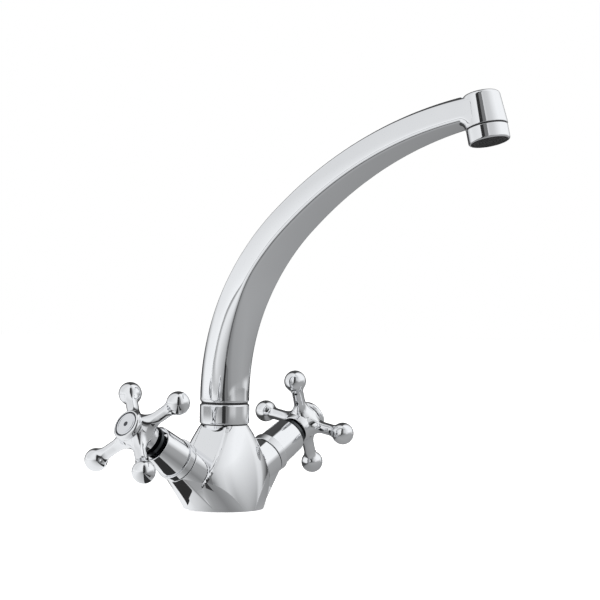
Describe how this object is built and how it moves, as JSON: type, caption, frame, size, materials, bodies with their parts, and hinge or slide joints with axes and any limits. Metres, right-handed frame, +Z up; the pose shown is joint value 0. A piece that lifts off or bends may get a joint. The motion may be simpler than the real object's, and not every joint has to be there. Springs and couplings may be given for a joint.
{
  "type": "two handle kitchen faucet",
  "caption": "Deck mounted kitchen mixer tap in polished chrome, with a high arched swivel spout and cross handles with ball ends.",
  "frame": {"origin": "centre of the round base, on the deck", "axes": "+Z up, the spout points along -Y, the hot valve is on the -X side and the cold valve on +X"},
  "size_m": [0.1931, 0.2612, 0.2536],
  "materials": {
    "chrome": "polished",
    "brass": "machined",
    "steel": "satin",
    "ceramic": "lapped",
    "acetal": "satin",
    "fibre": "matte",
    "rubber": "matte",
    "enamel": "gloss"
  },
  "bodies": {
    "fixture": {"body_casting": "chrome", "base_gasket": "rubber", "spout_collar": "chrome", "spout_slip_ring": "acetal", "hot_headwork_body": "brass", "hot_headwork_washer": "fibre", "hot_seat_seal": "rubber", "hot_fixed_disc": "ceramic", "hot_valve_skirt": "chrome", "cold_headwork_body": "brass", "cold_headwork_washer": "fibre", "cold_seat_seal": "rubber", "cold_fixed_disc": "ceramic", "cold_valve_skirt": "chrome"},
    "spout": {"spout": "chrome", "spout_o_ring_lower": "rubber", "spout_o_ring_upper": "rubber", "spout_retaining_ring": "brass", "aerator_housing": "chrome", "aerator_insert": "acetal", "aerator_screen": "steel", "aerator_washer": "rubber"},
    "hot_handle": {"hot_cross_handle": "chrome", "hot_spindle": "brass", "hot_spindle_o_ring": "rubber", "hot_spindle_clip": "steel", "hot_moving_disc": "ceramic", "hot_handle_screw": "steel", "hot_cap_ring": "chrome", "hot_index_disc": "chrome", "hot_index_dot": "enamel"},
    "cold_handle": {"cold_cross_handle": "chrome", "cold_spindle": "brass", "cold_spindle_o_ring": "rubber", "cold_spindle_clip": "steel", "cold_moving_disc": "ceramic", "cold_handle_screw": "steel", "cold_cap_ring": "chrome", "cold_index_disc": "chrome", "cold_index_dot": "enamel"}
  },
  "joints": [
    {"name": "spout_swivel", "type": "hinge", "parent": "fixture", "child": "spout", "pos_m": [0, 0, 0.06], "axis": [0, 0, 1], "continuous": true},
    {"name": "hot_handle_turn", "type": "hinge", "parent": "fixture", "child": "hot_handle", "pos_m": [-0.07474, 0, 0.05215], "axis": [-0.866, 0, 0.5], "range_deg": [0, 90]},
    {"name": "cold_handle_turn", "type": "hinge", "parent": "fixture", "child": "cold_handle", "pos_m": [0.07474, 0, 0.05215], "axis": [-0.866, 0, -0.5], "range_deg": [0, 90]}
  ]
}
